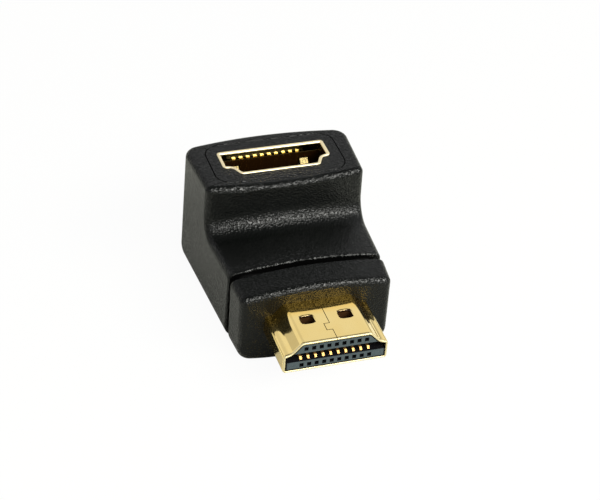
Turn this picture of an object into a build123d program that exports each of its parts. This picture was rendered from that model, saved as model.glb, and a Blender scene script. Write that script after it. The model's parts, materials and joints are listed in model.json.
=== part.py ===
from build123d import *
import math
import os

# Right angle digital video adapter, in millimetres.
# A flat plug faces forward (-Y) and a matching socket opens upward (+Z).
# While the pieces are built, y runs back from the plug's tip and z up from the
# underside. The last lines move everything so that y = 0 is mid length.

# Moulded body
plug_reach = 8.1            # plug in front of the nose
nose_length = 4.3
groove_width = 0.95         # open groove between nose and elbow
elbow_length = 20.75
arm_height = 11.7           # thickness of the arm that carries the plug
riser_depth = 12.2          # thickness of the arm that carries the socket
riser_height = 17.85
elbow_front_width = 21.2
elbow_back_width = 23.6
side_draft = 1.0            # degrees, the sides lean in towards the top
nose_step = 0.3             # how much narrower the nose is than the elbow
nose_side_taper = 0.3
nose_top_drop = 0.4
outer_corner_radius = 2.0   # along the underside and up the back
inner_corner_radius = 1.0   # up the front of the riser and along the arm's top
inside_bend_radius = 2.5
outside_bend_radius = 2.5
top_edge_radius = 0.85
nose_front_radius = 1.0
groove_edge_radius = 0.3
crown_radius = 60.0         # gentle bulge of the wide sides
rest_flat = 8.0             # flat width along the underside
underside_radius = 28.0
side_overshoot = 2.0        # the crowned bars start wider and are then cut to width
bend_search = 2.0           # how near a bend its long edges lie

# Walls of the moulded body
nose_front_wall = 1.8
arm_wall = 1.2
side_wall = 1.1
riser_front_wall = 1.7
riser_back_wall = 2.0
premould_corner = 1.5

# Bezel set into the top face around the socket
insert_width = 17.9
insert_depth = 8.9
insert_height = 3.45
insert_corner = 2.2
seam_depth = 0.15           # V groove between the bezel and the body
seam_half_width = 0.08

# Plug
plug_lift = 4.7             # underside of the plug above the underside of the body
plug_width = 13.9
plug_height = 4.45
plug_side = 2.68            # height of the plain side wall
plug_ledge = 1.0
plug_ledge_rise = 0.27
plug_flat = 9.2             # width of the narrow side
plug_wall = 0.3
plug_corner = 0.45
plug_ledge_bend = 1.2       # radius where the ledge turns down into the slope
plug_flat_bend = 0.9        # radius where the slope meets the narrow side
plug_grip = 2.0             # shell held in the core behind the nose's front wall
lead_in_length = 0.3
lead_in_depth = 0.08
lip_round = 0.11            # both edges of the sheet at the mouth
seam_gap = 0.09
seam_tab = 0.76             # how far a dovetail tab reaches across
seam_tab_length = 1.3
seam_tab_start = 1.9
seam_tab_pitch = 4.65
latch_offset = 2.53         # latch windows, sideways from the middle
latch_setback = 4.5         # latch windows, back from the tip
latch_width = 1.65
latch_length = 1.4
latch_corner = 0.45
latch_rollover = 0.27       # rounded edge left by the punch
latch_pocket = 0.9
lug_length = 2.4
lug_low = 1.08              # lowest part of the lug above the wide side
lug_height = 1.3
insulator_setback = 0.03
insulator_relief = 0.12     # gap to the shell near the mouth
insulator_relief_length = 2.5
slot_depth = 7.0
cell_width = 0.55
cell_height = 0.6
cell_depth = 1.5
cell_row_gap = 2.5          # distance between the two rows of square cells

# Contacts
contact_pitch = 1.0
wide_row_count = 10
narrow_row_count = 9
plug_contact_width = 0.3
plug_contact_setback = 0.4
contact_thickness = 0.15
contact_bump = 0.13
bump_slope = 0.33
bump_length = 1.6
plug_tail = 2.5
solder_length = 0.3

# Circuit board
board_thickness = 1.0
board_gap = 0.2             # behind the plug
board_neck_clearance = 0.1
board_side_margin = 0.9     # beyond the socket's side wall
board_back_margin = 0.15    # behind the rear solder

# Socket
socket_forward = 0.05       # socket's middle in front of the riser's middle
rim_proud = 0.08            # rim above the top face
rim_round = 0.2             # rounded inner edge of the mouth
rim_edge_round = 0.1        # rounded outer edge of the mouth
socket_opening_width = 14.0
socket_opening_height = 4.6
socket_wall = 0.45
socket_side = 3.65
socket_ledge = 1.2
socket_ledge_rise = 0.25
socket_flat = 10.95
socket_corner = 0.5
socket_ledge_bend = 0.9
socket_flat_bend = 0.7
stand_off = 0.25            # shell and insulator above the board
base_height = 3.0
tongue_width = 10.7
tongue_thickness = 0.95
tongue_setback = 2.25
socket_contact_width = 0.45
socket_contact_setback = 0.12
tip_bevel = 0.08
tip_reach = 0.25            # wide row's tips, bent in over the end of the tongue
foot_reach = 0.9            # contact feet beyond the shell
leg_width = 0.8
leg_spacing = 2.0
leg_drop = 0.6              # below the board
leg_clearance = 0.08
leg_solder_margin = 0.3
leg_solder_height = 0.35

# Springs in the socket's walls
spring_width = 1.1
spring_gap = 0.2
spring_top = 2.4            # free end, below the rim
spring_length = 4.2
spring_thickness = 0.2
spring_bow = 0.75
spring_crest = 0.6          # crest, below the free end
spring_root = 0.4
wide_side_spring_offset = 4.86

NEAR = 0.01                 # tolerance when a corner or face is picked by its place

# Places worked out from the sizes
nose_back_y = plug_reach + nose_length
plug_length = plug_reach + nose_front_wall + plug_grip
elbow_front_y = nose_back_y + groove_width
overall_length = elbow_front_y + elbow_length
riser_front_y = overall_length - riser_depth
riser_middle_y = overall_length - riser_depth / 2
slot_height = board_thickness + 2 * contact_thickness
slot_low = (plug_height - slot_height) / 2
board_low_z = plug_lift + plug_height / 2 - board_thickness / 2
board_top_z = board_low_z + board_thickness
rim_z = riser_height + rim_proud
socket_width = socket_opening_width + 2 * socket_wall
socket_height = socket_opening_height + 2 * socket_wall
socket_back_y = riser_middle_y - socket_forward + socket_height / 2
board_depth_below_rim = rim_z - board_top_z
shell_depth = board_depth_below_rim - stand_off
tongue_low = (socket_height - tongue_thickness) / 2
premould_half_width = elbow_front_width / 2 - side_wall
premould_top_z = riser_height - insert_height
window_depth = 1.5 * plug_wall
board_front_y = plug_length + board_gap
board_back_y = socket_back_y + foot_reach + solder_length + board_back_margin

# Each connector is built looking into its mouth: x across, y from the wide side
# to the narrow side, z inward from the mouth. These planes put them in place.
plug_plane = Plane(origin=(0, 0, plug_lift), x_dir=(-1, 0, 0), z_dir=(0, 1, 0))
socket_plane = Plane(origin=(0, socket_back_y, rim_z), x_dir=(1, 0, 0), z_dir=(0, 0, -1))


def block(x_range, y_range, z_range):
    """A box given by its low and high limits on each axis."""
    low, high = zip(x_range, y_range, z_range)
    size = [b - a for a, b in zip(low, high)]
    return Pos(*low) * Box(*size, align=(Align.MIN, Align.MIN, Align.MIN))


def along_y(profile, start, end):
    """A profile drawn in x and z, carried from one y to another."""
    plane = Plane(origin=(0, start, 0), x_dir=(-1, 0, 0), z_dir=(0, 1, 0))
    return extrude(plane * profile, end - start)


def crowned_side(half, level, flat, radius, sign):
    """The edges of one bulging side: an arc, or a flat middle and an arc to each end."""
    run = half - flat / 2
    end = level - sign * (radius - math.sqrt(radius**2 - run**2))
    if flat == 0:
        return [ThreePointArc((-half, end), (0, level), (half, end))], end
    right = TangentArc((flat / 2, level), (half, end), tangent=(1, 0))
    left = TangentArc((-flat / 2, level), (-half, end), tangent=(-1, 0))
    return [Line((-flat / 2, level), (flat / 2, level)), right, left], end


def crowned_profile(width, depth, low_flat=0, low_radius=crown_radius):
    """A rectangle with bulging long sides; its middle runs from 0 to depth."""
    half = width / 2
    low, low_end = crowned_side(half, 0, low_flat, low_radius, -1)
    high, high_end = crowned_side(half, depth, 0, crown_radius, 1)
    ends = [Line((x, low_end), (x, high_end)) for x in (-half, half)]
    return make_face(Curve() + low + high + ends)


def elbow_blank():
    """The solid outer shape of the elbow, before it is hollowed."""
    reach = side_overshoot
    wide = elbow_back_width + reach
    arm_end = overall_length + reach
    plan = crowned_profile(wide, overall_length)
    upright = crowned_profile(wide, riser_height + reach, rest_flat, underside_radius)
    arm_profile = crowned_profile(wide, arm_height, rest_flat, underside_radius)
    arm = along_y(arm_profile, elbow_front_y, arm_end) & extrude(plan, riser_height)
    riser_profile = crowned_profile(wide, riser_depth)
    riser = extrude(Pos(0, riser_front_y) * riser_profile, riser_height)
    riser &= along_y(upright, elbow_front_y, arm_end)
    blank = arm + riser

    def bend_edges(y, z):
        """The edges across the elbow that run close to the line at y and z."""
        return [
            e for e in blank.edges()
            if e.bounding_box().size.X > bend_search
            and abs((e @ 0.5).Y - y) < bend_search and abs((e @ 0.5).Z - z) < bend_search
        ]

    blank = fillet(bend_edges(riser_front_y, arm_height), inside_bend_radius)
    blank = fillet(bend_edges(overall_length, 0), outside_bend_radius)

    lean = (elbow_back_width - elbow_front_width) / 2 / elbow_length
    front_half = elbow_front_width / 2 - lean * reach
    back_half = elbow_back_width / 2 + lean * reach
    front_y = elbow_front_y - reach
    outline = Polyline(
        (-front_half, front_y), (front_half, front_y),
        (back_half, arm_end), (-back_half, arm_end), close=True,
    )
    blank &= extrude(make_face(outline), riser_height + reach, taper=side_draft)

    def on_open_end(edge):
        at_top = abs(edge.center().Z - riser_height) < NEAR
        at_front = abs(edge.center().Y - elbow_front_y) < NEAR
        return at_top or at_front

    def side_edges(inner):
        """The long edges of both sides: the inner run of the elbow, or the outer one."""
        edges = [
            e for f in blank.faces() if abs(f.normal_at().X) > 0.9
            for e in f.edges() if not on_open_end(e)
        ]
        return [
            e for e in edges
            if inner == ((e @ 0.5).Z > arm_height / 2 and (e @ 0.5).Y < riser_middle_y)
        ]

    blank = fillet(side_edges(False), outer_corner_radius)
    blank = fillet(side_edges(True), inner_corner_radius)
    blank = fillet(blank.faces().sort_by(Axis.Z)[-1].edges(), top_edge_radius)
    return fillet(blank.faces().sort_by(Axis.Y)[0].edges(), groove_edge_radius)


def premould_blank():
    """The solid outer shape of the inner mould: an arm and a riser."""
    low_z = arm_wall
    high_z = arm_height - arm_wall
    back_y = overall_length - riser_back_wall
    section = RectangleRounded(2 * premould_half_width, high_z - low_z, premould_corner)
    section = Pos(0, (low_z + high_z) / 2) * section
    arm = along_y(section, plug_reach + nose_front_wall, back_y)
    half = premould_half_width
    riser = block(
        (-half, half),
        (riser_front_y + riser_front_wall, back_y),
        (arm_height / 2, premould_top_z),
    )
    return arm + riser


def insert_blank():
    outline = RectangleRounded(insert_width, insert_depth, insert_corner)
    return extrude(Pos(0, riser_middle_y, premould_top_z) * outline, insert_height)


def keyed_outline(width, height, side, ledge, ledge_rise, flat, corner, ledge_bend, flat_bend):
    """The section of a connector: wide side at 0, narrow side at height."""
    half = [
        (width / 2, 0),
        (width / 2, side),
        (width / 2 - ledge, side + ledge_rise),
        (flat / 2, height),
    ]
    points = half + [(-x, y) for x, y in reversed(half)]
    outline = make_face(Polyline(*points, close=True))

    def near(low, high):
        return [v for v in outline.vertices() if low < v.Y < high]

    outline = fillet(near(height - NEAR, height + NEAR), flat_bend)
    outline = fillet(near(side + ledge_rise - NEAR, side + ledge_rise + NEAR), ledge_bend)
    return fillet(near(-NEAR, side + NEAR), corner)


def plug_outline():
    return keyed_outline(
        plug_width, plug_height, plug_side, plug_ledge, plug_ledge_rise,
        plug_flat, plug_corner, plug_ledge_bend, plug_flat_bend,
    )


def socket_outline():
    return keyed_outline(
        socket_width, socket_height, socket_side, socket_ledge, socket_ledge_rise,
        socket_flat, socket_corner, socket_ledge_bend, socket_flat_bend,
    )


def row_positions(count):
    """Sideways places of one row of contacts, centred."""
    return [(i - (count - 1) / 2) * contact_pitch for i in range(count)]


def mouth_face(shell):
    """The flat end of a folded shell, at the mouth."""
    return shell.faces().filter_by(lambda f: f.normal_at().Z < -0.99).sort_by(Axis.Z)[0]


def seam_cutter():
    """Short boxes that follow the seam through the narrow wall."""
    half = seam_gap / 2
    wall = (plug_height - window_depth, plug_height + plug_wall)
    cuts = []
    start = seam_tab_start
    last = 0
    while start + seam_tab_length < plug_length:
        end = start + seam_tab_length
        cuts.append(block((-half, half), wall, (last, start + half)))
        cuts.append(block((seam_tab - half, seam_tab + half), wall, (start - half, end + half)))
        for z in (start, end):
            cuts.append(block((-half, seam_tab + half), wall, (z - half, z + half)))
        last = end - half
        start += seam_tab_pitch
    cuts.append(block((-half, half), wall, (last, plug_length)))
    return cuts


def latch_windows(depth):
    """Openings, or the pockets under them, on the narrow side."""
    shape = RectangleRounded(latch_width, latch_length, latch_corner)
    cuts = []
    for side in (-1, 1):
        centre = (side * latch_offset, plug_height, latch_setback)
        plane = Plane(origin=centre, x_dir=(1, 0, 0), z_dir=(0, -1, 0))
        cuts.append(extrude(plane * shape, depth))
    return cuts


def plug_shell():
    outline = plug_outline()
    mouth = offset(outline, -lead_in_depth)
    lead_in = loft([mouth, Pos(0, 0, lead_in_length) * outline])
    outside = lead_in + extrude(Pos(0, 0, lead_in_length) * outline, plug_length - lead_in_length)
    shell = outside - extrude(offset(outline, -plug_wall), plug_length)
    shell = fillet(mouth_face(shell).edges(), lip_round)
    shell -= latch_windows(window_depth)
    narrow_side = shell.faces().filter_by(lambda f: f.normal_at().Y > 0.99).sort_by(Axis.Y)[-1]
    window_edges = [e for wire in narrow_side.inner_wires() for e in wire.edges()]
    shell = fillet(window_edges, latch_rollover)
    shell -= seam_cutter()
    lug_z = (plug_length, plug_length + lug_length)
    for side in (-1, 1):
        lug_x = sorted((side * (plug_width / 2 - plug_wall), side * plug_width / 2))
        shell += block(lug_x, (lug_low, lug_low + lug_height), lug_z)
    return shell


def plug_contact(x, side):
    """One contact of the plug. Side is -1 for the wide row, 1 for the narrow row."""
    front = plug_contact_setback
    back = plug_length + board_gap + plug_tail
    crest = contact_thickness + contact_bump
    profile = Polyline(
        (front, 0),
        (front + bump_slope, crest),
        (front + bump_slope + bump_length, crest),
        (front + 2 * bump_slope + bump_length, contact_thickness),
        (back, contact_thickness),
        (back, 0),
        close=True,
    )
    edge = plug_height / 2 + side * slot_height / 2
    plane = Plane(
        origin=(x - side * plug_contact_width / 2, edge, 0), x_dir=(0, 0, 1), z_dir=(side, 0, 0)
    )
    return extrude(plane * make_face(profile), plug_contact_width)


def plug_contacts():
    wide = [plug_contact(x, -1) for x in row_positions(wide_row_count)]
    narrow = [plug_contact(x, 1) for x in row_positions(narrow_row_count)]
    return wide + narrow


def plug_insulator(contacts):
    inside = offset(plug_outline(), -plug_wall)
    front = offset(inside, -insulator_relief)
    body = extrude(Pos(0, 0, insulator_setback) * front, insulator_relief_length)
    step = insulator_setback + insulator_relief_length
    body += extrude(Pos(0, 0, step) * inside, plug_length - step)
    half = plug_width / 2
    body -= block((-half, half), (slot_low, slot_low + slot_height), (0, slot_depth))
    for side, count in ((-1, wide_row_count), (1, narrow_row_count)):
        y = plug_height / 2 + side * cell_row_gap / 2
        for x in row_positions(count):
            cell = Box(cell_width, cell_height, 2 * cell_depth)
            body -= Pos(x, y, insulator_setback) * cell
    body -= latch_windows(plug_wall + latch_pocket)
    return body - contacts


def bent_strip(points, thickness):
    """A thin strip's profile: the points, then the same points set inward."""
    inner = [(x, y + thickness) for x, y in reversed(points)]
    return make_face(Polyline(*points, *inner, close=True))


def socket_spring(x, narrow_side):
    """One spring finger and the window that it bends out of."""
    end = spring_top + spring_length
    points = [
        (spring_top, (socket_wall - spring_thickness) / 2),
        (spring_top + spring_crest, spring_bow),
        (end - spring_crest, (socket_wall - spring_thickness) / 2),
        (end + spring_root, (socket_wall - spring_thickness) / 2),
    ]
    profile = bent_strip(points, spring_thickness)
    half = spring_width / 2
    plane = Plane(origin=(x + half, 0, 0), x_dir=(0, 0, 1), z_dir=(-1, 0, 0))
    finger = extrude(plane * profile, spring_width)
    window_half = half + spring_gap
    window = block(
        (x - window_half, x + window_half),
        (-socket_wall / 2, 1.5 * socket_wall),
        (spring_top - spring_gap, end),
    )
    if narrow_side:
        flip = Plane(origin=(0, socket_height / 2, 0), z_dir=(0, 1, 0))
        finger, window = mirror(finger, flip), mirror(window, flip)
    return finger, window


def leg_places():
    """Centres of the socket's legs, in the socket's own frame."""
    x = (socket_width - socket_wall) / 2
    middle = socket_side / 2
    offsets = (-leg_spacing / 2, leg_spacing / 2)
    return [(side * x, middle + along) for side in (-1, 1) for along in offsets]


def socket_leg(grow, start, end):
    """All four legs, or their holes when grown."""
    size_x = socket_wall + 2 * grow
    size_y = leg_width + 2 * grow
    leg = Box(size_x, size_y, end - start, align=(Align.CENTER, Align.CENTER, Align.MIN))
    return [Pos(x, y, start) * leg for x, y in leg_places()]


def socket_shell():
    outline = socket_outline()
    shell = extrude(outline, shell_depth) - extrude(offset(outline, -socket_wall), shell_depth)
    shell = fillet(mouth_face(shell).inner_wires()[0].edges(), rim_round)
    shell = fillet(mouth_face(shell).outer_wire().edges(), rim_edge_round)
    fingers = []
    springs = [(side * wide_side_spring_offset, False) for side in (-1, 1)]
    springs += [(side * latch_offset, True) for side in (-1, 1)]
    for x, narrow_side in springs:
        finger, window = socket_spring(x, narrow_side)
        shell -= window
        fingers.append(finger)
    leg_end = board_depth_below_rim + board_thickness + leg_drop
    return shell + fingers + socket_leg(0, shell_depth, leg_end)


def socket_contact(x, side):
    """One contact of the socket. Side is -1 for the wide row, 1 for the narrow row."""
    bent = side < 0
    top = tongue_setback if bent else tongue_setback + socket_contact_setback
    low = board_depth_below_rim
    thickness = contact_thickness
    reach = tongue_low + foot_reach
    tip = [(top + thickness, 0), (top + thickness, -tip_reach), (top, -tip_reach)]
    profile = Polyline(
        *(tip if bent else [(top, 0)]),
        (top, thickness - tip_bevel),
        (top + tip_bevel, thickness),
        (low - thickness, thickness),
        (low - thickness, reach),
        (low, reach),
        (low, 0),
        close=True,
    )
    face_y = socket_height / 2 + side * tongue_thickness / 2
    plane = Plane(
        origin=(x + side * socket_contact_width / 2, face_y, 0), x_dir=(0, 0, 1), z_dir=(-side, 0, 0)
    )
    return extrude(plane * make_face(profile), socket_contact_width)


def socket_contacts():
    wide = [socket_contact(x, -1) for x in row_positions(wide_row_count)]
    narrow = [socket_contact(x, 1) for x in row_positions(narrow_row_count)]
    return wide + narrow


def socket_insulator(contacts):
    inside = offset(socket_outline(), -socket_wall)
    base = extrude(Pos(0, 0, shell_depth - base_height) * inside, base_height)
    half = tongue_width / 2
    tongue = block(
        (-half, half),
        (tongue_low, tongue_low + tongue_thickness),
        (tongue_setback, shell_depth - base_height),
    )
    return base + tongue - contacts


def solder_wedge(width, height, length):
    """A fillet of solder: upright against a contact's end, flat on the board."""
    profile = make_face(Polyline((0, 0), (length, 0), (0, height), close=True))
    return Pos(-width / 2, 0, 0) * extrude(Plane.YZ * profile, width)


def plug_solder():
    y = plug_length + board_gap + plug_tail
    wedge = solder_wedge(plug_contact_width, contact_thickness, solder_length)
    over = [Pos(x, y, board_top_z) * wedge for x in row_positions(narrow_row_count)]
    under = mirror(wedge, Plane.XY)
    return over + [Pos(x, y, board_low_z) * under for x in row_positions(wide_row_count)]


def socket_solder():
    wedge = solder_wedge(socket_contact_width, contact_thickness, solder_length)
    back_y = socket_back_y + foot_reach
    front_y = socket_back_y - socket_height - foot_reach
    back = [Pos(x, back_y, board_top_z) * wedge for x in row_positions(wide_row_count)]
    turned = mirror(wedge, Plane.XZ)
    return back + [Pos(x, front_y, board_top_z) * turned for x in row_positions(narrow_row_count)]


def leg_solder():
    """A collar of solder under the board around each leg of the socket."""
    start = board_depth_below_rim + board_thickness
    collars = socket_leg(leg_solder_margin, start, start + leg_solder_height)
    return [collar - socket_leg(0, start, start + leg_solder_height) for collar in collars]


def circuit_board():
    neck_half = plug_width / 2 - plug_wall - board_neck_clearance
    main_half = socket_width / 2 + board_side_margin
    neck_y = (board_front_y, plug_length + lug_length + board_gap)
    neck = block((-neck_half, neck_half), neck_y, (board_low_z, board_top_z))
    main_y = (neck_y[1], board_back_y)
    main = block((-main_half, main_half), main_y, (board_low_z, board_top_z))
    holes = socket_leg(leg_clearance, shell_depth, board_depth_below_rim + 2 * board_thickness)
    return neck + main - [socket_plane.location * hole for hole in holes]


def nose_overmould(premould_space, plug_space):
    rear_width = elbow_front_width - nose_step
    front_width = rear_width - 2 * nose_side_taper
    sections = []
    for width, height, y in (
        (rear_width, arm_height, nose_back_y),
        (front_width, arm_height - nose_top_drop, plug_reach),
    ):
        profile = crowned_profile(width, height, rest_flat, underside_radius)
        for radius, low, high in (
            (outer_corner_radius, -height, height / 2),
            (inner_corner_radius, height / 2, 2 * height),
        ):
            sides = [v for v in profile.vertices() if abs(v.X) > width / 2 - NEAR]
            profile = fillet([v for v in sides if low < v.Y < high], radius)
        plane = Plane(origin=(0, y, 0), x_dir=(-1, 0, 0), z_dir=(0, 1, 0))
        sections.append(plane * profile)
    nose = loft(sections)
    nose = fillet(nose.faces().sort_by(Axis.Y)[0].edges(), nose_front_radius)
    nose = fillet(nose.faces().sort_by(Axis.Y)[-1].edges(), groove_edge_radius)
    return nose - premould_space - plug_space


def elbow_overmould(premould_space, insert_space):
    elbow = elbow_blank() - premould_space
    outline = RectangleRounded(insert_width, insert_depth, insert_corner)
    edge = Pos(0, riser_middle_y, riser_height - seam_depth) * outline
    flare = math.degrees(math.atan(seam_half_width / seam_depth))
    return elbow - insert_space - extrude(edge, seam_depth, taper=-flare)


def socket_face_insert(socket_space):
    insert = insert_blank()
    insert = chamfer(insert.faces().sort_by(Axis.Z)[-1].edges(), seam_depth, seam_half_width)
    return insert - socket_space


def build():
    """Every piece by name, with y measured from the plug's tip."""
    in_plug = plug_plane.location
    in_socket = socket_plane.location
    p_contacts = plug_contacts()
    s_contacts = socket_contacts()
    pieces = {
        "plug_shell": in_plug * plug_shell(),
        "plug_insulator": in_plug * plug_insulator(p_contacts),
        "socket_shell": in_socket * socket_shell(),
        "socket_insulator": in_socket * socket_insulator(s_contacts),
        "circuit_board": circuit_board(),
    }
    groups = {
        "plug_solder": plug_solder(),
        "socket_solder": socket_solder(),
        "leg_solder": [in_socket * collar for collar in leg_solder()],
    }
    for i, contact in enumerate(p_contacts):
        pieces[f"plug_contact_{i + 1:02d}"] = in_plug * contact
    for i, contact in enumerate(s_contacts):
        pieces[f"socket_contact_{i + 1:02d}"] = in_socket * contact

    plug_space = in_plug * extrude(plug_outline(), plug_length)
    socket_space = in_socket * extrude(socket_outline(), shell_depth)
    blank = premould_blank()
    premould = blank
    for solids in groups.values():
        premould -= solids
    premould = premould - plug_space - socket_space - list(pieces.values())
    nose = nose_overmould(blank, plug_space)
    elbow = elbow_overmould(blank, insert_blank())
    pieces["inner_premould"] = premould
    pieces["nose_overmould"] = nose
    pieces["elbow_overmould"] = elbow
    pieces["socket_face_insert"] = socket_face_insert(socket_space)
    for name, solids in groups.items():
        pieces[name] = Compound(children=[Solid(s.solids()[0].wrapped) for s in solids])
    return pieces


os.makedirs("parts", exist_ok=True)
to_middle = Pos(0, -overall_length / 2, 0)
for name, piece in build().items():
    export_step(to_middle * piece, f"parts/{name}.step")
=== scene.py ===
import json
import math

import bpy
from mathutils import Matrix, Vector


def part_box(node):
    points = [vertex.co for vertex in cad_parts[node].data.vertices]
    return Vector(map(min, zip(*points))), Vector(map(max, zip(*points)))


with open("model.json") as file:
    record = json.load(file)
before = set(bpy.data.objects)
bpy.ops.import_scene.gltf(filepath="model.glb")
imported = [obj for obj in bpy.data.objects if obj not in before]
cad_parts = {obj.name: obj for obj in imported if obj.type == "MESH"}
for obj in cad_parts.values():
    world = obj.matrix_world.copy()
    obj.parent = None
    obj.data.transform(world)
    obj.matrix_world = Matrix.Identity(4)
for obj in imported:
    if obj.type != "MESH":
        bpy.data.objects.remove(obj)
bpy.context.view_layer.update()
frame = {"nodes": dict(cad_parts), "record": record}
MM = 0.001
X, Y, Z = 0, 1, 2

# Camera, from the plug and the socket's rim in the photograph
CAMERA_AZIMUTH = -20.42
CAMERA_ELEVATION = 36.72
CAMERA_ROLL = 4.43
CAMERA_DISTANCE = 237.3 * MM
CAMERA_AIM = Vector((-2.22, -7.17, 16.08)) * MM
LENS = 112.9
SENSOR = 36.0

# Places of details on the CAD pieces that only differ in finish
SHADOW_GAP = 0.21 * MM          # dark edge round the plug insulator's pale front face
LIP = 0.16 * MM                 # painted highlight along the cut edge of the gold sheet
MOUTH_LIP = 1.6 * LIP           # where the plug's pale edge has faded out
RIM_LIP = 2 * LIP               # where the socket's pale rim has faded out
WINDOW_OFFSET = 2.53 * MM       # latch windows, sideways from the middle
WINDOW_SETBACK = 4.5 * MM       # back from the plug's mouth
WINDOW_HALF_WIDTH = 0.825 * MM
WINDOW_HALF_LENGTH = 0.7 * MM
WINDOW_ROLL = 0.12 * MM         # edge that turns down into the window
POCKET_MARGIN = 0.1 * MM        # painted brown reflection reaches this far past the window
NOSE_REFLECTION_START = 3.0 * MM           # in front of the nose, where a painted reflection of the nose starts to warm the plating
NOSE_REFLECTION_FULL = 1.2 * MM
SPRING_OFFSET = 4.86 * MM       # the socket's springs, sideways from the middle
SPRING_HALF = 0.55 * MM
SPRING_DEPTH = 2.3 * MM         # painted highlight from here down
BRIGHT_RIM_LOW = 1.31 * MM      # below the rim, the socket's wall is painted in shade, dull and dark, from here
BRIGHT_RIM_HIGH = 1.28 * MM
GROOVE_EDGE = 0.02 * MM
EDGE = 0.1 * MM                 # width of the other soft edges

# Scales of the grain and mottle, in features for each metre
PEBBLE_SCALE = 4100
SPECK_SCALE = 3800
WAVE_SCALE = 700
RIPPLE_SCALE = 500
CONTACT_RIPPLE_SCALE = 2500
INSULATOR_MOTTLE_SCALE = 2600
CORE_MOTTLE_SCALE = 1800
WEAVE_SCALE = 1500
TIN_GRAIN_SCALE = 3000
PEBBLE_DEPTH = 0.075 * MM
RIPPLE_DEPTH = 0.003 * MM
INSULATOR_MOTTLE_DEPTH = 0.01 * MM
CORE_MOTTLE_DEPTH = 0.02 * MM
SPECK_LOW, SPECK_HIGH = 0.5, 0.67    # noise between these turns into specks

# Base colours; a pair is the dark and the light end of a mottle
GRAIN = ((0.0012, 0.0015, 0.0014, 1), (0.0026, 0.0030, 0.0027, 1))
# painted shade: near black in the groove between the nose and the elbow
GROOVE_PAINTED_SHADE = (0.001, 0.001, 0.001, 1)
PLATING = ((0.94, 0.70, 0.26, 1), (0.98, 0.78, 0.34, 1))
# painted reflection: the warmer gold of the plug where the nose is mirrored in it
NOSE_REFLECTION_PLATING = (1.0, 0.64, 0.13, 1)
# painted shade: the dull dark tone of the gold in the latch windows and deep in the socket
SHADED_PLATING = (0.018, 0.007, 0.0012, 1)
# painted highlight: pale colours for the plug's lip and the socket's rim
PLUG_LIP_HIGHLIGHT = (0.66, 0.57, 0.34, 1)
SOCKET_RIM_HIGHLIGHT = (0.98, 0.86, 0.58, 1)
# painted shade: the plug's contacts darker than gold, to damp their highlight
PLUG_CONTACT_PAINTED_SHADE = ((0.46, 0.27, 0.08, 1), (0.58, 0.38, 0.15, 1))
# painted highlight: the socket's contacts paler than gold
SOCKET_CONTACT_PAINTED_HIGHLIGHT = ((0.98, 0.86, 0.58, 1), (1.0, 0.94, 0.70, 1))
# painted shade: near black on the insulators away from the plug's front face
INSULATOR_PAINTED_SHADE = (0.003, 0.003, 0.004, 1)
# painted reflection: brown of the gold window walls on the plastic under the windows
POCKET_PAINTED_REFLECTION = (0.028, 0.012, 0.004, 1)
INSULATOR_FACE_COLOUR = ((0.026, 0.036, 0.040, 1), (0.055, 0.070, 0.076, 1))
CORE = ((0.0012, 0.0012, 0.0012, 1), (0.002, 0.002, 0.002, 1))
LAMINATE = ((0.01, 0.09, 0.03, 1), (0.015, 0.13, 0.05, 1))
TIN = ((0.55, 0.56, 0.58, 1), (0.72, 0.72, 0.73, 1))
WHITE = (1, 1, 1, 1)

# Studio: a white world that is dimmer overhead and at the horizon, and one softbox.
# Heights are the upward part of a direction of length 1.
OVERHEAD_START, OVERHEAD_FULL, OVERHEAD_LIGHT = 0.62, 0.9, 0.22
HORIZON_LOW, HORIZON_HIGH = -0.05, 0.35
HORIZON_LOW_LIGHT, HORIZON_HIGH_LIGHT = 0.15, 0.88
SOFTBOX_PLACE = Vector((0.16, -0.34, 0.33))
SOFTBOX_AIM = Vector((0, 0, 8 * MM))
SOFTBOX_WIDTH, SOFTBOX_HEIGHT = 0.55, 0.18
SOFTBOX_POWER = 5.6
SOFTBOX_COLOUR = (1.0, 1.0, 0.94)
FLOOR_SIZE = 3
FLOOR_COLOUR = (0.58, 0.585, 0.53, 1)
FLOOR_GLOW_SEEN = 0.95          # share of plain white that the camera sees
FLOOR_GLOW_MIRRORED = 0.03      # and that glossy pieces mirror

# A mix node has several sockets of one name, so its colour sockets go by number
MIX_FIRST, MIX_SECOND, MIX_RESULT = 6, 7, 2


class Socket:
    """A shader output that can be used in sums with numbers and other outputs."""

    def __init__(self, tree, output):
        self.tree = tree
        self.output = output

    def math(self, operation, first, second):
        settings = {"operation": operation}
        return add_node(self.tree, "ShaderNodeMath", settings, {0: first, 1: second})

    def __add__(self, other):
        return self.math("ADD", self, other)

    __radd__ = __add__

    def __sub__(self, other):
        return self.math("SUBTRACT", self, other)

    def __rsub__(self, other):
        return self.math("SUBTRACT", other, self)

    def __mul__(self, other):
        return self.math("MULTIPLY", self, other)

    def higher(self, other):
        return self.math("MAXIMUM", self, other)


def add_node(tree, kind, settings=None, inputs=None, output=0):
    """Adds a node, sets it up, feeds its sockets and returns one output."""
    node = tree.nodes.new(kind)
    for name, value in (settings or {}).items():
        setattr(node, name, value)
    for key, value in (inputs or {}).items():
        if isinstance(value, Socket):
            tree.links.new(value.output, node.inputs[key])
        else:
            node.inputs[key].default_value = value
    return Socket(tree, node.outputs[output]) if node.outputs else None


def empty_tree(owner):
    """Clears the nodes of a material or a world and returns its node tree."""
    owner.use_nodes = True
    owner.node_tree.nodes.clear()
    return owner.node_tree


def new_material(name):
    """Makes an empty material, and gives its node tree and the place on the object."""
    material = bpy.data.materials.new(name)
    tree = empty_tree(material)
    where = add_node(tree, "ShaderNodeTexCoord", output="Object")
    return material, tree, where


def surface(tree, inputs):
    shader = add_node(tree, "ShaderNodeBsdfPrincipled", inputs=inputs)
    add_node(tree, "ShaderNodeOutputMaterial", inputs={"Surface": shader})


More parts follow.
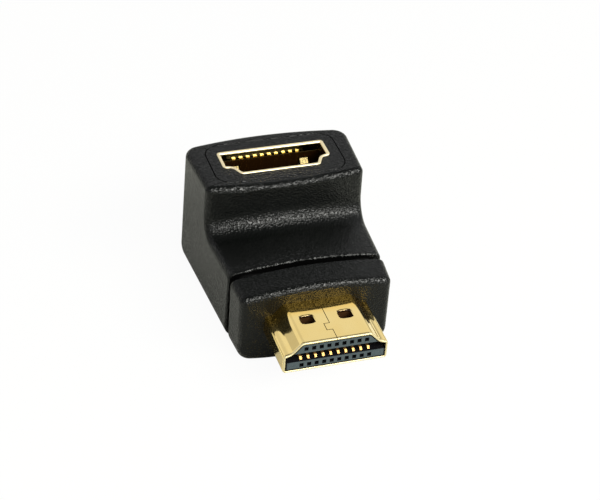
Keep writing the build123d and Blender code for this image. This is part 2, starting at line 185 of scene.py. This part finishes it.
def noise(tree, where, scale, detail=2.0, roughness=0.5):
    values = {"Vector": where, "Scale": scale, "Detail": detail, "Roughness": roughness}
    return add_node(tree, "ShaderNodeTexNoise", inputs=values)


def mix_colour(tree, factor, first, second):
    values = {"Factor": factor, MIX_FIRST: first, MIX_SECOND: second}
    return add_node(tree, "ShaderNodeMix", {"data_type": "RGBA"}, values, output=MIX_RESULT)


def coordinate(tree, where, axis):
    return add_node(tree, "ShaderNodeSeparateXYZ", inputs={"Vector": where}, output=axis)


def size_of(tree, value):
    return add_node(tree, "ShaderNodeMath", {"operation": "ABSOLUTE"}, {0: value})


def map_range(tree, value, start, end, low, high):
    """Goes from low to high as the value goes from start to end, and is level outside."""
    return add_node(tree, "ShaderNodeMapRange", inputs={
        "Value": value, "From Min": start, "From Max": end, "To Min": low, "To Max": high,
    })


def ramp(tree, value, at_zero, at_one):
    """Rises from 0 to 1 between two values; the second may be the smaller one."""
    if at_zero < at_one:
        return map_range(tree, value, at_zero, at_one, 0.0, 1.0)
    return map_range(tree, value, at_one, at_zero, 1.0, 0.0)


def bump(tree, height, distance, strength=1.0):
    values = {"Height": height, "Distance": distance, "Strength": strength}
    return add_node(tree, "ShaderNodeBump", inputs=values)


def black_moulding():
    """Satin black moulding that sparkles with its grain, but not on the nose's front face."""
    material, tree, where = new_material("black_moulding")
    pebbles = add_node(
        tree, "ShaderNodeTexVoronoi", {"feature": "F1"}, {"Vector": where, "Scale": PEBBLE_SCALE}
    )
    waves = noise(tree, where, WAVE_SCALE)
    specks = ramp(tree, noise(tree, where, SPECK_SCALE, 1.0), SPECK_LOW, SPECK_HIGH)
    along = coordinate(tree, where, Y)
    nose_low, nose_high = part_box("nose_overmould")
    nose_face = ramp(tree, along, nose_low[Y] + 2.5 * EDGE, nose_low[Y] + EDGE)
    groove_start, groove_end = nose_high[Y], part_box("elbow_overmould")[0][Y]
    # mask of the groove, where painted shade stands in for the shadow the nose casts into it
    groove = ramp(tree, along, groove_start - GROOVE_EDGE, groove_start)
    groove = groove * ramp(tree, along, groove_end + GROOVE_EDGE, groove_end)
    surface(tree, {
        "Base Color": mix_colour(tree, groove, mix_colour(tree, waves, *GRAIN), GROOVE_PAINTED_SHADE),
        "Roughness": 0.2 + waves * 0.04 + nose_face * 0.17,
        "Specular IOR Level": 0.14,
        "Coat Weight": specks * 0.36 * (1 - nose_face),
        "Coat Roughness": 0.16,
        "Normal": bump(tree, pebbles, PEBBLE_DEPTH),
    })
    return material


def past_window(tree, where):
    """How far a point of the plug lies outside the nearer latch window."""
    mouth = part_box("plug_shell")[0][Y]
    aside = size_of(tree, size_of(tree, coordinate(tree, where, X)) - WINDOW_OFFSET)
    ahead = size_of(tree, coordinate(tree, where, Y) - (mouth + WINDOW_SETBACK))
    return (aside - WINDOW_HALF_WIDTH).higher(ahead - WINDOW_HALF_LENGTH)


def plated(tree, where, lip, lip_highlight, unshaded, nose_reflection):
    """Bright gold on folded sheet, a pale painted highlight along the cut lip, painted shade,
    dull and brown, away from the unshaded part, and a painted reflection of the nose where
    asked.
    """
    ripple = noise(tree, where, RIPPLE_SCALE)
    plating = mix_colour(tree, ripple, *PLATING)
    plating = mix_colour(tree, nose_reflection, plating, NOSE_REFLECTION_PLATING)
    edged = mix_colour(tree, lip, plating, lip_highlight)
    surface(tree, {
        "Base Color": mix_colour(tree, unshaded, SHADED_PLATING, edged),
        "Metallic": 0.6 + unshaded * 0.4,
        "Roughness": 0.055 + ripple * 0.04 + lip * 0.45 + (1 - unshaded) * 0.1,
        "Normal": bump(tree, ripple, RIPPLE_DEPTH, 0.5),
    })


def plug_gold():
    """Bright outside, painted shade on the walls of the latch windows, and a painted reflection
    of the nose, warmer, next to the nose.
    """
    material, tree, where = new_material("plug_gold")
    low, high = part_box("plug_shell")
    mouth, middle = low[Y], (low[Z] + high[Z]) / 2
    along = coordinate(tree, where, Y)
    # painted highlight along the plug's mouth
    lip = ramp(tree, along, mouth + MOUTH_LIP, mouth + LIP)
    # painted shade on the walls of the latch windows, kept off the lower half
    flat = ramp(tree, past_window(tree, where), 0.6 * WINDOW_ROLL, WINDOW_ROLL)
    lower = ramp(tree, coordinate(tree, where, Z), middle + EDGE, middle)
    nose_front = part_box("nose_overmould")[0][Y]
    # painted reflection of the nose, turning the plating warmer next to it
    nose_reflection = ramp(tree, along, nose_front - NOSE_REFLECTION_START, nose_front - NOSE_REFLECTION_FULL)
    plated(tree, where, lip, PLUG_LIP_HIGHLIGHT, flat.higher(lower), nose_reflection)
    return material


def socket_gold():
    """Painted shade, dull and dark, inside the walls; a pale painted highlight on the rim and on
    the springs.
    """
    material, tree, where = new_material("socket_gold")
    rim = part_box("socket_shell")[1][Z]
    height = coordinate(tree, where, Z)
    off_spring = size_of(tree, size_of(tree, coordinate(tree, where, X)) - SPRING_OFFSET)
    # painted highlight on the springs, kept out of the painted shade and made a little pale
    spring_highlight = ramp(tree, off_spring, SPRING_HALF + EDGE, SPRING_HALF)
    spring_highlight = spring_highlight * ramp(tree, height, rim - SPRING_DEPTH + EDGE, rim - SPRING_DEPTH)
    # painted shade on the socket's walls below the bright rim
    near_rim = ramp(tree, height, rim - BRIGHT_RIM_LOW, rim - BRIGHT_RIM_HIGH)
    lip = ramp(tree, height, rim - RIM_LIP, rim - LIP).higher(spring_highlight * 0.08)
    plated(tree, where, lip, SOCKET_RIM_HIGHLIGHT, near_rim.higher(spring_highlight), 0.0)
    return material


def contact_gold(name, colours):
    """Satin gold on the contact strips."""
    material, tree, where = new_material(name)
    ripple = noise(tree, where, CONTACT_RIPPLE_SCALE)
    surface(tree, {
        "Base Color": mix_colour(tree, ripple, *colours),
        "Metallic": 1.0,
        "Roughness": 0.5 + ripple * 0.1,
    })
    return material


def insulator_plastic():
    """Blue grey plastic on the plug's front face; elsewhere painted shade, near black, and a
    painted brown reflection under the windows.
    """
    material, tree, where = new_material("insulator_plastic")
    mottle = noise(tree, where, INSULATOR_MOTTLE_SCALE, 4.0, 0.65)
    low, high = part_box("plug_insulator")
    front, side, bottom = low[Y], high[X], low[Z]
    along = coordinate(tree, where, Y)
    across = size_of(tree, coordinate(tree, where, X))
    height = coordinate(tree, where, Z)
    face = ramp(tree, along, front + 0.8 * EDGE, front + 0.2 * EDGE)
    face = face * ramp(tree, height, bottom + SHADOW_GAP, bottom + 1.3 * SHADOW_GAP)
    face = face * ramp(tree, across, side - SHADOW_GAP, side - 1.3 * SHADOW_GAP)
    # painted reflection of the gold walls on the plastic under the windows
    pocket = ramp(tree, past_window(tree, where), 1.5 * POCKET_MARGIN, POCKET_MARGIN)
    # painted shade all over the insulators, except the front face and the painted reflection
    # under the windows
    dark = mix_colour(tree, pocket, INSULATOR_PAINTED_SHADE, POCKET_PAINTED_REFLECTION)
    surface(tree, {
        "Base Color": mix_colour(tree, face, dark, mix_colour(tree, mottle, *INSULATOR_FACE_COLOUR)),
        "Roughness": 0.45 + mottle * 0.15,
        "Specular IOR Level": 0.1,
        "Normal": bump(tree, mottle, INSULATOR_MOTTLE_DEPTH, 0.6),
    })
    return material


def core_plastic():
    """The hard core under the skins, seen only in the floor of the groove."""
    material, tree, where = new_material("core_plastic")
    mottle = noise(tree, where, CORE_MOTTLE_SCALE, 3.0)
    surface(tree, {
        "Base Color": mix_colour(tree, mottle, *CORE),
        "Roughness": 0.6 + mottle * 0.15,
        "Specular IOR Level": 0.1,
        "Normal": bump(tree, mottle, CORE_MOTTLE_DEPTH, 0.6),
    })
    return material


def board_laminate():
    material, tree, where = new_material("board_laminate")
    weave = noise(tree, where, WEAVE_SCALE)
    surface(tree, {
        "Base Color": mix_colour(tree, weave, *LAMINATE),
        "Roughness": 0.3 + weave * 0.1,
    })
    return material


def bright_solder():
    material, tree, where = new_material("bright_solder")
    grain = noise(tree, where, TIN_GRAIN_SCALE, 3.0)
    surface(tree, {
        "Base Color": mix_colour(tree, grain, *TIN),
        "Metallic": 1.0,
        "Roughness": 0.25 + grain * 0.2,
    })
    return material


def dress(nodes):
    """Gives every solid its finish."""
    finishes = {
        "black_pvc": black_moulding(),
        "core_plastic": core_plastic(),
        "contact_gold": contact_gold("plug_contact_gold", PLUG_CONTACT_PAINTED_SHADE),
        "insulator_plastic": insulator_plastic(),
        "board_laminate": board_laminate(),
        "solder": bright_solder(),
    }
    own_finishes = {"plug_shell": plug_gold(), "socket_shell": socket_gold()}
    # two copies of one contact gold: darker on the plug as painted shade, paler in the socket as
    # a painted highlight
    highlit_contacts = contact_gold("socket_contact_gold", SOCKET_CONTACT_PAINTED_HIGHLIGHT)
    for entry in frame["record"]["subparts"]:
        node = entry["node"]
        finish = own_finishes.get(node) or finishes[entry["material_slot"]]
        if node.startswith("socket_contact"):
            finish = highlit_contacts
        for slot in nodes[node].material_slots:
            slot.material = finish


def white_floor():
    """A white sweep that the camera sees as white, with a light shadow kept."""
    bpy.ops.mesh.primitive_plane_add(size=FLOOR_SIZE, location=(0, 0, 0))
    floor = bpy.context.object
    floor.name = "floor"
    material = bpy.data.materials.new("white_sweep")
    tree = empty_tree(material)
    seen = add_node(tree, "ShaderNodeLightPath", output="Is Camera Ray")
    mirrored = add_node(tree, "ShaderNodeLightPath", output="Is Glossy Ray")
    share = seen * FLOOR_GLOW_SEEN + mirrored * FLOOR_GLOW_MIRRORED
    matt = add_node(tree, "ShaderNodeBsdfDiffuse", inputs={"Color": FLOOR_COLOUR})
    glow = add_node(tree, "ShaderNodeEmission", inputs={"Color": WHITE, "Strength": 1.0})
    mixed = add_node(tree, "ShaderNodeMixShader", inputs={0: share, 1: matt, 2: glow})
    add_node(tree, "ShaderNodeOutputMaterial", inputs={"Surface": mixed})
    floor.data.materials.append(material)


def place_in_scene(name, data, matrix):
    holder = bpy.data.objects.new(name, data)
    bpy.context.scene.collection.objects.link(holder)
    holder.matrix_world = matrix
    return holder


def softbox():
    """A wide lamp in front on the right that faces the adapter."""
    lamp = bpy.data.lights.new("key", "AREA")
    lamp.shape = "RECTANGLE"
    lamp.size = SOFTBOX_WIDTH
    lamp.size_y = SOFTBOX_HEIGHT
    lamp.energy = SOFTBOX_POWER
    lamp.color = SOFTBOX_COLOUR
    turn = (SOFTBOX_AIM - SOFTBOX_PLACE).to_track_quat("-Z", "Y").to_matrix().to_4x4()
    place_in_scene("key", lamp, Matrix.Translation(SOFTBOX_PLACE) @ turn)


def white_world():
    """White to the camera; as a light, dimmer overhead and towards the horizon."""
    world = bpy.data.worlds.new("studio")
    bpy.context.scene.world = world
    tree = empty_tree(world)
    seen = add_node(tree, "ShaderNodeLightPath", output="Is Camera Ray")
    direction = add_node(tree, "ShaderNodeTexCoord", output="Generated")
    height = coordinate(tree, direction, Z)
    above = map_range(tree, height, OVERHEAD_START, OVERHEAD_FULL, 1.0, OVERHEAD_LIGHT)
    near_horizon = map_range(
        tree, height, HORIZON_LOW, HORIZON_HIGH, HORIZON_LOW_LIGHT, HORIZON_HIGH_LIGHT
    )
    strength = above * near_horizon * (1 - seen) + seen
    light = add_node(
        tree, "ShaderNodeBackground", inputs={"Color": WHITE, "Strength": strength}
    )
    add_node(tree, "ShaderNodeOutputWorld", inputs={"Surface": light})


def camera():
    """Stands where the photographer stood, turned by azimuth, elevation and roll."""
    azimuth, elevation, roll = (
        math.radians(a) for a in (CAMERA_AZIMUTH, CAMERA_ELEVATION, CAMERA_ROLL)
    )
    back = Vector((
        math.sin(azimuth) * math.cos(elevation),
        -math.cos(azimuth) * math.cos(elevation),
        math.sin(elevation),
    ))
    right = (-back).cross(Vector((0, 0, 1))).normalized()
    up = right.cross(-back)
    turned_right = right * math.cos(roll) + up * math.sin(roll)
    turned_up = -right * math.sin(roll) + up * math.cos(roll)
    turn = Matrix((turned_right, turned_up, back)).transposed().to_4x4()
    data = bpy.data.cameras.new("camera")
    data.lens = LENS
    data.sensor_width = SENSOR
    data.clip_start = 1 * MM
    place = Matrix.Translation(CAMERA_AIM + back * CAMERA_DISTANCE)
    bpy.context.scene.camera = place_in_scene("camera", data, place @ turn)


bpy.ops.object.select_all(action="DESELECT")
bpy.context.scene.view_settings.view_transform = "Standard"
camera()
white_world()
softbox()
white_floor()
dress(frame["nodes"])
